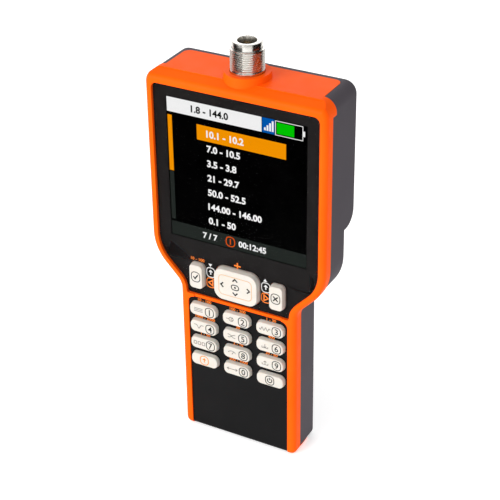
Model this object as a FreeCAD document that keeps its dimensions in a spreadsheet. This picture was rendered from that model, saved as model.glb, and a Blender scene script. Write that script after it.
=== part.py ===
import FreeCAD, Part
import math
import os
import re
import Sketcher

# Handheld antenna analyzer: a wide head with a square display over a narrower grip with a keypad,
# and a coaxial socket on top.
# Sizes are millimetres. X runs to the viewer's right, Y runs into the case, Z runs up.
# The pieces are drawn with the face of the display window at Y = 0 and the sole at Z = 0.
# Each piece is then moved along Y by origin_shift, which puts the origin at mid depth.

doc = FreeCAD.newDocument("antenna_analyzer")
sheet = doc.addObject("Spreadsheet::Sheet", "Sizes")

SIZES = [
    # casing outline, built up round the display, the keypad and the battery
    ("side_margin", 10.45), ("grip_rim", 4.2), ("cursor_zone", 31.65), ("stack_gap", 2.5),
    ("grip_depth", 22.4), ("neck_rise", 6.0), ("neck_turn", 43.8),
    ("shoulder_radius", 23.0), ("foot_radius", 8.0), ("head_corner", 6.5), ("base_corner", 3.0),
    ("bulge_round", 9.0), ("bulge_core", 5.7), ("bulge_floor", 2.5), ("rear_round", 2.6),
    ("case_wall", 2.0), ("front_wall", 2.6), ("shell_gap", 0.12),
    # orange rim of the front shell
    ("rim_width", 3.4), ("rim_proud", 0.7), ("rim_round", 2.5), ("rim_depth", 5.5),
    ("crown_depth", 9.0), ("crown_fall", 2.6), ("crown_run", 6.5),
    ("deck_inset", 6.2), ("deck_back", 4.4), ("deck_corner", 3.5), ("sole_back", 6.0),
    ("sole_height", 2.0),
    ("sole_edge", 0.3),
    # grey side of the rear shell
    ("side_step", 0.4),
    # display window and its printed mask
    ("window_drop", 5.9), ("window_thick", 1.0), ("mask_thick", 0.2), ("window_gap", 0.1),
    ("window_corner", 3.0), ("window_heel", 1.2), ("bar_width", 1.5), ("bar_drop", 0.1),
    ("screen_width", 72.1), ("screen_height", 72.2), ("screen_drop", 6.4), ("mask_margin", 0.3),
    ("glass_margin", 1.4), ("glass_thick", 1.6), ("glass_gap", 0.2),
    ("tray_margin", 2.7), ("tray_tail", 7.0), ("tray_gap", 0.2),
    # keypad panel
    ("panel_top", 77.95), ("panel_margin", 1.4), ("panel_thick", 0.8), ("panel_corner", 3.3),
    ("panel_lift", 0.2), ("lip_round", 1.9), ("lip_depth", 2.1), ("lip_height", 3.0),
    # keys
    ("key_width", 15.0), ("key_height", 7.0), ("key_corner", 2.8), ("key_proud", 2.1),
    ("key_taper", 10.0), ("key_edge", 0.35), ("key_gap", 0.2), ("key_travel", 0.6),
    ("flange_reach", 0.8), ("flange_thick", 0.7), ("flange_gap", 0.1),
    ("column_gap", 3.4), ("row_gap", 2.77), ("row_drop", 5.85),
    ("side_key_width", 7.6), ("side_key_height", 13.4), ("side_key_corner", 2.2),
    ("side_key_gap", 6.05), ("cursor_rise", 12.75),
    ("nav_width", 23.8), ("nav_height", 17.4), ("nav_corner", 5.0), ("nav_gap", 0.4),
    ("nav_back", 1.4), ("nav_hollow", 1.8), ("nav_room", 13.0), ("nav_pivot", 1.6),
    ("web_thick", 0.6), ("web_reach", 1.2), ("ear_half", 0.8), ("ear_thick", 0.9), ("ear_inset", 0.3),
    ("trunnion_radius", 0.5), ("trunnion_gap", 0.06), ("trunnion_reach", 4.0), ("hub_radius", 1.1),
    # keypad mat, domes and main board
    ("mat_inset", 0.8), ("mat_thick", 0.7), ("mat_clear", 0.3), ("mat_rise", 9.2),
    ("mat_tail", 4.0), ("mat_corner", 2.0),
    ("dome_radius", 2.2), ("dome_height", 0.4), ("board_thick", 1.6),
    ("board_gap", 0.6), ("board_drop", 3.9), ("board_lift", 1.0),
    # screw posts and screws of the case
    ("post_radius", 2.3), ("post_gap", 0.15), ("post_drop", 10.4), ("post_rise", 1.1),
    ("grip_post_inset", 5.3), ("grip_post_height", 12.0),
    ("screw_radius", 1.0), ("screw_head", 2.1), ("screw_head_height", 1.5),
    ("screw_clearance", 0.25), ("screw_seat", 12.0), ("screw_bite", 2.0), ("well_wall", 1.2),
    # parts on the main board
    ("shield_width", 56.0), ("shield_height", 30.0), ("shield_thick", 4.5),
    ("shield_drop", 43.4), ("shield_wall", 0.3),
    ("chip_side", 14.0), ("chip_thick", 1.2), ("chip_rise", 26.75),
    ("memory_width", 8.0), ("memory_height", 12.0), ("memory_shift", 16.0),
    ("radio_width", 14.0), ("radio_height", 18.0), ("radio_thick", 2.2), ("radio_inset", 18.5),
    ("radio_rise", 40.75),
    ("buzzer_radius", 6.0), ("buzzer_height", 4.0), ("buzzer_inset", 18.5), ("buzzer_rise", 46.75),
    ("buzzer_hole", 1.2), ("flex_width", 24.0), ("flex_height", 9.0), ("flex_drop", 7.9),
    # charging and data socket in the sole
    ("socket_width", 7.7), ("socket_thick", 3.9), ("socket_length", 8.0), ("socket_wall", 0.35),
    ("socket_lift", 1.2), ("socket_gap", 0.3), ("tongue_width", 4.0), ("tongue_thick", 0.9),
    ("tongue_short", 1.0),
    # battery bay
    ("cell_radius", 7.25), ("cell_length", 50.5), ("cell_gap", 0.6), ("cell_tip_radius", 2.7),
    ("cell_tip_height", 1.0), ("cell_clearance", 0.25), ("bay_wall", 1.2), ("bay_drop", 9.2),
    ("bay_side", 0.65), ("contact_thick", 0.4), ("contact_side", 9.0), ("spring_height", 2.2),
    ("spring_wide", 4.0), ("spring_tip", 2.6),
    # battery cover
    ("cover_side", 1.0), ("cover_lap", 0.8), ("cover_top_lap", 1.1), ("cover_gap", 0.15),
    ("tongue_reach", 1.1), ("tongue_depth", 0.8), ("cover_skin", 1.05),
    ("rib_width", 26.0), ("rib_height", 1.4), ("rib_depth", 0.5), ("rib_pitch", 3.0),
    ("rib_drop", 17.3), ("slot_run", 10.0), ("tray_lip", 3.0), ("tray_lip_thick", 1.0),
    # coaxial socket
    ("port_setback", 13.24), ("boss_wall", 2.56), ("boss_rise", 2.9), ("boss_taper", 10.0),
    ("boss_gap", 0.2), ("thread_gap", 0.7),
    ("thread_radius", 7.94), ("thread_depth", 0.62), ("thread_pitch", 1.058), ("thread_length", 10.5),
    ("nose_step", 0.94), ("nose_length", 3.3), ("nose_edge", 0.35),
    ("mouth_step", 0.4), ("mouth_depth", 4.2), ("sleeve_radius", 4.05),
    ("flange_edge", 0.52), ("port_flange", 2.0), ("gasket_thick", 0.5), ("stub_radius", 5.4),
    ("stub_length", 2.0), ("insulator_rise", 1.0), ("contact_radius", 1.55),
    ("contact_bore", 0.82), ("contact_slit", 0.3), ("contact_drop", 7.0),
    ("port_screw_radius", 0.9), ("screw_land", 0.265), ("port_screw_head", 1.7),
    ("port_screw_cap", 1.1), ("port_screw_bite", 3.5), ("lead_width", 1.0), ("lead_thick", 0.5),
    ("pin_spread", 20.0), ("pin_rise", 11.3), ("pin_radius", 0.6),
    # cutting tools reach this far past the faces that they open
    ("cut_over", 1.0),
]

for row, (alias, size) in enumerate(SIZES, start=1):
    sheet.set(f"A{row}", alias)
    sheet.set(f"B{row}", str(size))
    sheet.setAlias(f"B{row}", alias)

# Sizes that follow from others
DERIVED = [
    # the keypad sets the grip's width, and the display sets the head's
    ("column_pitch", "key_width + column_gap"),
    ("row_pitch", "key_height + row_gap"),
    ("side_key_spread", "(nav_width + side_key_width) / 2 + side_key_gap"),
    ("panel_width", "2 * (column_pitch + panel_margin) + key_width"),
    ("grip_width", "panel_width + 2 * grip_rim"),
    ("head_width", "screen_width + 2 * side_margin"),
    # levels, from the sole up
    ("cursor_height", "panel_top + cursor_rise"),
    ("mat_top", "cursor_height + mat_rise"),
    ("screen_low", "panel_top + cursor_zone"),
    ("shoulder_height", "panel_top + neck_rise + (head_width - grip_width) / 2 / tan(neck_turn)"),
    ("body_height", "screen_low + screen_height + screen_drop + window_drop"),
    ("bay_low", "body_height - bay_drop - spring_height - cell_length - 2 * contact_thick"),
    ("bulge_foot", "bay_low - bay_wall - bulge_round"),
    ("cover_low", "bay_low - cover_lap"),
    ("cover_high", "body_height - bay_drop + cover_top_lap"),
    ("rib_level", "cover_high - rib_drop"),
    ("thread_low", "body_height + boss_rise + thread_gap"),
    ("thread_high", "thread_low + thread_length"),
    ("rim_high", "thread_high + nose_length"),
    ("insulator_high", "thread_low + insulator_rise"),
    ("contact_low", "body_height - contact_drop"),
    # depths: the board stands clear of the mat when the keys are fully pressed
    ("board_front", "front_wall + flange_gap + flange_thick + key_travel + mat_clear + mat_thick"
                    " + dome_height"),
    ("tray_front", "window_thick + mask_thick + glass_gap + glass_thick"),
    ("tray_thick", "board_front - tray_gap - tray_front"),
    ("head_depth", "board_front + board_thick + shield_thick + stack_gap + bay_wall"
                   " + 2 * (cell_radius + cell_clearance) + case_wall"),
    ("deck_depth", "head_depth - deck_back"),
    ("sole_depth", "grip_depth - sole_back"),
    ("origin_shift", "(key_proud - head_depth) / 2"),
    # widths and places of what stands inside
    ("deck_width", "head_width - 2 * deck_inset"),
    ("mat_width", "panel_width - 2 * mat_inset"),
    ("post_spread", "screen_width / 2 + tray_margin + post_radius + post_gap"),
    ("post_top", "body_height - post_drop"),
    ("post_mid", "screen_low + post_rise"),
    ("grip_post_spread", "grip_width / 2 - grip_post_inset"),
    ("shield_low", "body_height - shield_drop"),
    ("chip_low", "panel_top + chip_rise"),
    ("radio_low", "panel_top + radio_rise"),
    ("radio_shift", "head_width / 2 - radio_inset"),
    ("buzzer_level", "panel_top + buzzer_rise"),
    ("buzzer_shift", "head_width / 2 - buzzer_inset"),
    ("flex_low", "screen_low - flex_drop"),
    ("cell_pitch", "2 * cell_radius + cell_gap"),
    ("bay_half", "cell_pitch + cell_radius + bay_side"),
    ("cover_half", "bay_half + cover_side"),
    ("pin_level", "bay_low + pin_rise"),
    # the socket, its boss and its flange
    ("nose_radius", "thread_radius - nose_step"),
    ("mouth_radius", "sleeve_radius + mouth_step"),
    ("boss_radius", "thread_radius + boss_gap + boss_wall"),
    ("port_screw_spread", "(thread_radius + boss_gap + port_screw_radius + screw_land) / sqrt(2)"),
    ("flange_side", "2 * (port_screw_spread + port_screw_head + flange_edge)"),
]
for row, (alias, rule) in enumerate(DERIVED, start=len(SIZES) + 1):
    sheet.set(f"A{row}", alias)
    sheet.set(f"B{row}", f"={rule}")
    sheet.setAlias(f"B{row}", alias)
doc.recompute()

NODES = []


def sized(text):
    """Point every size named in an expression at the sheet."""
    return re.sub(r"[a-z]+(?:_[a-z]+)+", r"Sizes.\g<0>", text)


def value(text):
    """Give an expression's number for the sizes as they stand."""
    return float(sheet.evalExpression(sized(text)))


def bind(thing, prop, text):
    """Set a property now and tie it to the sheet."""
    thing.setExpression(prop, sized(text))


def keep(thing, label, across="0", up="0", depth="0"):
    """Name a finished piece and move it to its place."""
    thing.Label = label
    bind(thing, "Placement.Base.x", across)
    bind(thing, "Placement.Base.y", f"origin_shift + {depth}")
    bind(thing, "Placement.Base.z", up)
    NODES.append(thing)
    return thing


def new_body(name):
    return doc.addObject("PartDesign::Body", name + "_body")


def sketch_on(body, role, lift):
    """Open a sketch on one of the body's own planes, lifted along that plane's normal."""
    sketch = body.newObject("Sketcher::SketchObject", "outline")
    plane = [item for item in body.Origin.OriginFeatures if item.Role == role][0]
    sketch.AttachmentSupport = [(plane, "")]
    sketch.MapMode = "FlatFace"
    bind(sketch, "AttachmentOffset.Base.z", lift)
    return sketch


def corner_points(corners):
    """Work out where each corner's arc starts, ends and has its middle."""
    spots = []
    count = len(corners)
    places = [FreeCAD.Vector(value(u), value(v), 0) for u, v, r in corners]
    for index in range(count):
        here = places[index]
        back = (places[index - 1] - here).normalize()
        ahead = (places[(index + 1) % count] - here).normalize()
        text = corners[index][2]
        if text is None:
            spots.append((here, here, None, 0, here))
            continue
        radius = value(text)
        half = back.getAngle(ahead) / 2
        start = here + back * (radius / math.tan(half))
        end = here + ahead * (radius / math.tan(half))
        middle = here + (back + ahead).normalize() * (radius / math.sin(half))
        left_turn = (here - places[index - 1]).cross(places[(index + 1) % count] - here).z > 0
        spots.append((start, end, middle, 1 if left_turn else -1, here))
    return spots


def add_rules(sketch, rules):
    """Add constraints in one go; each rule is a kind, its places and an optional bound size."""
    built = []
    for kind, places, text in rules:
        ends = list(places) if text is None else list(places) + [value(text)]
        built.append(Sketcher.Constraint(kind, *ends))
    numbers = sketch.addConstraint(built)
    for number, (kind, places, text) in zip(numbers, rules):
        if text is not None:
            bind(sketch, f"Constraints[{number}]", text)


def fill_outline(sketch, corners):
    """Draw a closed outline from named corners, each sharp or rounded, and bind every corner."""
    spots = corner_points(corners)
    count = len(corners)
    upright = FreeCAD.Vector(0, 0, 1)
    rules = []
    lines = [sketch.addGeometry(Part.LineSegment(spots[index][1], spots[(index + 1) % count][0]))
             for index in range(count)]
    for index, (u, v, r) in enumerate(corners):
        start, end, middle, turn, here = spots[index]
        before, after = lines[index - 1], lines[index]
        if r is None:
            rules.append(("Coincident", (before, 2, after, 1), None))
            target = after
        else:
            first, last = (start, end) if turn > 0 else (end, start)
            angles = [math.atan2(p.y - middle.y, p.x - middle.x) for p in (first, last)]
            if angles[1] < angles[0]:
                angles[1] += 2 * math.pi
            arc = sketch.addGeometry(Part.ArcOfCircle(Part.Circle(middle, upright, value(r)), *angles))
            near, far = (1, 2) if turn > 0 else (2, 1)
            target = sketch.addGeometry(Part.Point(here), True)
            rules += [("Tangent", (before, 2, arc, near), None), ("Tangent", (after, 1, arc, far), None),
                      ("Radius", (arc,), r), ("PointOnObject", (target, 1, before), None),
                      ("PointOnObject", (target, 1, after), None)]
        rules += [("DistanceX", (-1, 1, target, 1), u), ("DistanceY", (-1, 1, target, 1), v)]
    add_rules(sketch, rules)
    return sketch


def fill_circle(sketch, across, up, radius):
    """Draw a circle with a bound centre and radius."""
    centre = FreeCAD.Vector(value(across), value(up), 0)
    circle = sketch.addGeometry(Part.Circle(centre, FreeCAD.Vector(0, 0, 1), value(radius)))
    add_rules(sketch, [("Radius", (circle,), radius), ("DistanceX", (-1, 1, circle, 3), across),
                       ("DistanceY", (-1, 1, circle, 3), up)])
    return sketch


def rectangle(width, height, radius=None, across="0", up="0"):
    """Corners of a rectangle round a centre, counter-clockwise from the lower right."""
    return [(f"{across} + ({width}) / 2", f"{up} - ({height}) / 2", radius),
            (f"{across} + ({width}) / 2", f"{up} + ({height}) / 2", radius),
            (f"{across} - ({width}) / 2", f"{up} + ({height}) / 2", radius),
            (f"{across} - ({width}) / 2", f"{up} - ({height}) / 2", radius)]


def span(left, right, low, high, radius=None):
    """Corners of a rectangle between named edges."""
    return [(right, low, radius), (right, high, radius), (left, high, radius), (left, low, radius)]


def add_pad(body, sketch, length, symmetric=False, taper=None):
    pad = body.newObject("PartDesign::Pad", "pad")
    pad.Profile = sketch
    pad.Refine = False
    bind(pad, "Length", length)
    if symmetric:
        pad.SideType = "Symmetric"
    if taper is not None:
        bind(pad, "TaperAngle", taper)
    return pad


def add_pocket(body, sketch, length, symmetric=False):
    pocket = body.newObject("PartDesign::Pocket", "pocket")
    pocket.Profile = sketch
    pocket.Refine = False
    bind(pocket, "Length", length)
    if symmetric:
        pocket.SideType = "Symmetric"
    return pocket


def slab(body, corners, front, back):
    """Add material between two depths; the outline is seen from the front."""
    sketch = fill_outline(sketch_on(body, "XZ_Plane", f"-({back})"), corners)
    return add_pad(body, sketch, f"({back}) - ({front})")


def recess(body, outlines, front, back):
    """Cut one or more outlines from one depth to a deeper one; they are seen from the front."""
    for corners in outlines:
        sketch = fill_outline(sketch_on(body, "XZ_Plane", f"-({front})"), corners)
        add_pocket(body, sketch, f"({back}) - ({front})")


def pegs(body, places, radius, front, back):
    """Add round posts along Y."""
    sketch = sketch_on(body, "XZ_Plane", f"-({back})")
    for across, up in places:
        fill_circle(sketch, across, up, radius)
    return add_pad(body, sketch, f"({back}) - ({front})")


def bores(body, places, radius, front, back):
    """Cut round holes along Y."""
    sketch = sketch_on(body, "XZ_Plane", f"-({front})")
    for across, up in places:
        fill_circle(sketch, across, up, radius)
    return add_pocket(body, sketch, f"({back}) - ({front})")


def side_cut(body, corners, width):
    """Cut a profile seen from the side right through, half of it to each side."""
    sketch = fill_outline(sketch_on(body, "YZ_Plane", "0"), corners)
    return add_pocket(body, sketch, width, symmetric=True)


def top_bores(body, places, radius, low, high, from_below=False):
    """Cut upright round holes between two levels."""
    sketch = sketch_on(body, "XY_Plane", low if from_below else high)
    for across, depth in places:
        fill_circle(sketch, across, depth, radius)
    pocket = add_pocket(body, sketch, f"({high}) - ({low})")
    pocket.Reversed = from_below
    return pocket


def soften(body, radius, chosen, kind="PartDesign::Fillet"):
    """Round the edges of the body's last feature that a test picks out."""
    base = body.Tip
    if hasattr(base, "Refine"):
        base.Refine = True
    doc.recompute()
    names = [f"Edge{i}" for i, edge in enumerate(base.Shape.Edges, start=1) if chosen(edge)]
    if not names:
        raise RuntimeError(f"{body.Name}: no edge to soften")
    feature = body.newObject(kind, "softened")
    feature.Base = (base, names)
    bind(feature, "Size" if kind.endswith("Chamfer") else "Radius", radius)
    return feature


def lies_at_depth(edge, depth):
    box = edge.BoundBox
    return abs(box.YMin - depth) < 0.01 and abs(box.YMax - depth) < 0.01


def revolve(name, profile):
    """Turn a closed outline of radius and height corners round the socket's axis."""
    body = new_body(name)
    sketch = fill_outline(sketch_on(body, "XZ_Plane", "-(port_setback)"), profile)
    turned = body.newObject("PartDesign::Revolution", "turned")
    turned.Profile = sketch
    turned.ReferenceAxis = (sketch, ["V_Axis"])
    turned.Angle = 360
    return body


def box(name, corner, lengths):
    """Make a plain block from its low corner and its three lengths."""
    block = doc.addObject("Part::Box", name)
    for prop, text in zip(("Length", "Width", "Height"), lengths):
        bind(block, prop, text)
    for axis, text in zip("xyz", corner):
        bind(block, f"Placement.Base.{axis}", text)
    return block


def rod(name, foot, radius, length, axis="z", kind="Part::Cylinder"):
    """Make a round bar from its foot, along Y or Z."""
    bar = doc.addObject(kind, name)
    if axis == "y":
        bar.Placement.Rotation = FreeCAD.Rotation(FreeCAD.Vector(1, 0, 0), -90)
    if kind == "Part::Cylinder":
        bind(bar, "Radius", radius)
    else:
        bind(bar, "Radius1", radius[0])
        bind(bar, "Radius2", radius[1])
    bind(bar, "Height", length)
    for letter, text in zip("xyz", foot):
        bind(bar, f"Placement.Base.{letter}", text)
    return bar


def cut(name, base, tool):
    result = doc.addObject("Part::Cut", name)
    result.Base, result.Tool = base, tool
    return result


def fuse(name, pieces):
    result = doc.addObject("Part::MultiFuse", name)
    result.Shapes = pieces
    return result


def group(name, pieces):
    """Hold several separate solids in one node."""
    result = doc.addObject("Part::Compound", name)
    result.Links = pieces
    return result


def case_outline(inset, top, low, top_corner, low_corner):
    """Half head, shoulder, neck and grip on both sides, set in from the casing's outer edge."""
    wide = f"(head_width / 2 - ({inset}))"
    slim = f"(grip_width / 2 - ({inset}))"
    shoulder = f"(shoulder_height + ({inset}) * tan(neck_turn / 2))"
    foot = f"({shoulder} - (head_width - grip_width) / 2 / tan(neck_turn))"
    right = [(slim, low, low_corner),
             (slim, foot, f"foot_radius + ({inset})"),
             (wide, shoulder, f"shoulder_radius - ({inset})"),
             (wide, top, top_corner)]
    left = [(f"-({u})", v, r) for u, v, r in reversed(right)]
    return right + left


# Places that several pieces share
WINDOW_TOP = "body_height - window_drop"
WINDOW_LOW = "panel_top + bar_width"
SEAT = "window_thick + mask_thick"
SCREEN_MID = "screen_low + screen_height / 2"
MAT_FRONT = "board_front - dome_height - mat_thick"
BOARD_BACK = "board_front + board_thick"
FLANGE_FRONT = "front_wall + flange_gap"
BAY_TOP = "bay_low + spring_height + cell_length + 2 * contact_thick"
BAY_BACK = "head_depth - case_wall"
CELL_DEPTH = "head_depth - case_wall - cell_clearance - cell_radius"
BAY_FRONT = f"{CELL_DEPTH} - cell_radius - cell_clearance"
FLANGE_LOW = "body_height - case_wall - gasket_thick - port_flange"
STUB_LOW = f"{FLANGE_LOW} - stub_length"
HEAD_POSTS = [("post_spread", "post_top"), ("-post_spread", "post_top")]
GRIP_POSTS = [("post_spread", "post_mid"), ("-post_spread", "post_mid"),
              ("grip_post_spread", "grip_post_height"), ("-grip_post_spread", "grip_post_height")]
CELL_SHIFTS = ["-cell_pitch", "0", "cell_pitch"]
PORT_SCREWS = [(f"{side}port_screw_spread", f"port_setback {way} port_screw_spread")
               for side in ("", "-") for way in "+-"]

KEY_NAMES = [["key_1", "key_2", "key_3"], ["key_4", "key_5", "key_6"],
             ["key_7", "key_8", "key_9"], ["key_function", "key_0", "key_power"]]
KEY_PLACES = [(name, f"{column - 1} * column_pitch", f"(panel_top - row_drop - {row} * row_pitch)")
              for row, names in enumerate(KEY_NAMES) for column, name in enumerate(names)]
SIDE_KEY_PLACES = [("key_check", "-side_key_spread"), ("key_cross", "side_key_spread")]


def key_outlines(grow):
    """Outlines of the twelve keys, grown by a clearance."""
    return [rectangle(f"key_width + 2 * ({grow})", f"key_height + 2 * ({grow})",
                      f"key_corner + {grow}", across, up) for name, across, up in KEY_PLACES]


def cursor_outlines(side_grow, nav_grow):
    """Outlines of the two tall keys and of the cursor pad, grown by their clearances."""
    tall = [rectangle(f"side_key_width + 2 * ({side_grow})", f"side_key_height + 2 * ({side_grow})",
                      f"side_key_corner + {side_grow}", across, "cursor_height")
            for name, across in SIDE_KEY_PLACES]
    return tall + [rectangle(f"nav_width + 2 * ({nav_grow})", f"nav_height + 2 * ({nav_grow})",
                             f"nav_corner + {nav_grow}", "0", "cursor_height")]


def deck_outline(front, grow):
    """The orange deck seen from above, from its front to its rounded back corners."""
    side, back, corner = f"(deck_width / 2 + {grow})", f"deck_depth + {grow}", f"deck_corner + {grow}"
    return [(side, front, None), (side, back, corner), (f"-{side}", back, corner),
            (f"-{side}", front, None)]


def rim_edges(edge):
    """The casing's outer edge at the very front, and none of the openings' edges."""
    out = edge.BoundBox
    inside = (out.XMax < value("grip_width / 2 - cut_over") and out.XMin > -value("grip_width / 2 - cut_over")
              and out.ZMin > value("cut_over") and out.ZMax < value("body_height - window_drop"))
    screen = (out.XMax < value("screen_width / 2 + rim_width")
              and out.XMin > -value("screen_width / 2 + rim_width")
              and out.ZMin > value("shoulder_height") and out.ZMax < value("body_height - window_drop"))
    return lies_at_depth(edge, -value("rim_proud")) and not inside and not screen


def make_front_shell():
    """Orange moulding: rim, divider bar, top deck with the socket's boss, and the sole."""
    body = new_body("front_shell")
    slab(body, case_outline("0", "body_height", "0", "head_corner", "base_corner"),
         "-rim_proud", "rim_depth")
    screen_hole = [rectangle("screen_width + 2 * (glass_margin + glass_gap)",
                             "screen_height + 2 * (glass_margin + glass_gap)", None, "0", SCREEN_MID)]
    recess(body, screen_hole + key_outlines("key_gap") + cursor_outlines("key_gap", "nav_gap"),
           "-rim_proud - cut_over", "rim_depth + cut_over")
    side_cut(body, [("-rim_proud - cut_over", "body_height - crown_fall", None),
                    ("-rim_proud", "body_height - crown_fall", None),
                    ("crown_run", "body_height", None),
                    ("crown_run", "body_height + cut_over", None),
                    ("-rim_proud - cut_over", "body_height + cut_over", None)],
             "head_width + cut_over")
    soften(body, "rim_round", rim_edges)
    corner_low = "body_height - head_corner - cut_over"
    slab(body, [("head_width / 2", corner_low, None), ("head_width / 2", "body_height", "head_corner"),
                ("-head_width / 2", "body_height", "head_corner"),
                ("-head_width / 2", corner_low, None)], "rim_depth", "crown_depth")
    deck = fill_outline(sketch_on(body, "XY_Plane", "body_height"), deck_outline("crown_depth", "0"))
    add_pad(body, deck, "case_wall").Reversed = True
    slab(body, [("grip_width / 2", "0", "base_corner"),
                ("grip_width / 2", "base_corner + sole_height", None),
                ("-grip_width / 2", "base_corner + sole_height", None),
                ("-grip_width / 2", "0", "base_corner")], "rim_depth", "sole_depth")
    side_cut(body, [("rim_depth", "sole_height", None), ("sole_depth + cut_over", "sole_edge", None),
                    ("sole_depth + cut_over", "base_corner + sole_height + cut_over", None),
                    ("rim_depth", "base_corner + sole_height + cut_over", None)],
             "grip_width + cut_over")
    boss = fill_circle(sketch_on(body, "XY_Plane", "body_height + boss_rise"), "0", "port_setback",
                       "boss_radius")
    add_pad(body, boss, "boss_rise + case_wall", taper="boss_taper").Reversed = True
    recess(body, [case_outline("case_wall", "body_height - crown_fall - shell_gap", "case_wall",
                               "head_corner - case_wall", "base_corner - case_wall")],
           "front_wall", "crown_depth")
    recess(body, [rectangle("flange_side + 2 * boss_gap", "port_flange + gasket_thick + cut_over", None, "0",
                            "body_height - case_wall - (port_flange + gasket_thick + cut_over) / 2")],
           "port_setback - flange_side / 2 - boss_gap", "port_setback + flange_side / 2 + boss_gap")
    recess(body, [case_outline("rim_width", WINDOW_TOP, WINDOW_LOW, "window_corner", "window_heel")],
           "-rim_proud - cut_over", SEAT)
    recess(body, [[("panel_width / 2", "-cut_over", None), ("panel_width / 2", "panel_top", "panel_corner"),
                   ("-panel_width / 2", "panel_top", "panel_corner"),
                   ("-panel_width / 2", "-cut_over", None)]], "-rim_proud - cut_over", "panel_thick")
    recess(body, [span("-panel_width / 2", "panel_width / 2", "-cut_over", "lip_height + window_gap")],
           "-rim_proud - cut_over", "lip_depth + window_gap")
    recess(body, [rectangle("panel_width - 2 * panel_corner", "bar_width + cut_over", None,
                            "0", "panel_top + bar_width / 2")], "-rim_proud - cut_over", "-bar_drop")
    recess(body, [rectangle("socket_width + 2 * socket_gap", "2 * case_wall + sole_height")],
           f"{BOARD_BACK} - socket_gap", f"{BOARD_BACK} + socket_thick + socket_gap")
    pegs(body, HEAD_POSTS + GRIP_POSTS, "post_radius", "front_wall", "board_front")
    bores(body, HEAD_POSTS + GRIP_POSTS, "screw_radius + shell_gap / 2",
          "board_front - screw_bite - shell_gap", "board_front")
    top_bores(body, [("0", "port_setback")], "thread_radius + boss_gap",
              "body_height - case_wall - cut_over", "body_height + boss_rise + cut_over")
    top_bores(body, PORT_SCREWS, "port_screw_radius + shell_gap / 2",
              "body_height - case_wall", "body_height - case_wall + port_screw_bite", from_below=True)
    return keep(body, "front_shell")


def bulge_edge(edge):
    """The level edge at the foot of the battery bulge."""
    out = edge.BoundBox
    level = out.ZLength < 0.01 and out.YLength < 0.01
    return level and abs(out.YMax - value("head_depth")) + abs(out.ZMax - value("bulge_foot")) < 0.01


def rear_edges(edge):
    """All edges round the back, down both sides of the bulge and round its foot."""
    out = edge.BoundBox
    mid = edge.valueAt((edge.FirstParameter + edge.LastParameter) / 2)
    side = abs(abs(mid.x) - value("head_width / 2 - side_step")) < 0.01
    at_back = abs(out.YMax - value("head_depth")) < 0.01 and out.YLength < 0.01
    at_grip = abs(out.YMax - value("grip_depth")) < 0.01 and out.YLength < 0.01
    if out.YLength < 0.01 and out.ZLength < 0.01 and out.XLength > value("head_width / 2"):
        return at_back and out.ZMax > value("body_height - head_corner")
    if out.XLength > value("grip_width / 2") and at_grip:
        return out.ZMax < value("base_corner")
    if at_back or (at_grip and out.ZMax < value("bulge_foot") + 0.01):
        return True
    round_foot = value("bulge_foot") - 0.01 < mid.z < value("bulge_foot + bulge_round")
    return side and out.YLength > 0.2 and round_foot and mid.y > value("grip_depth")


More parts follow.
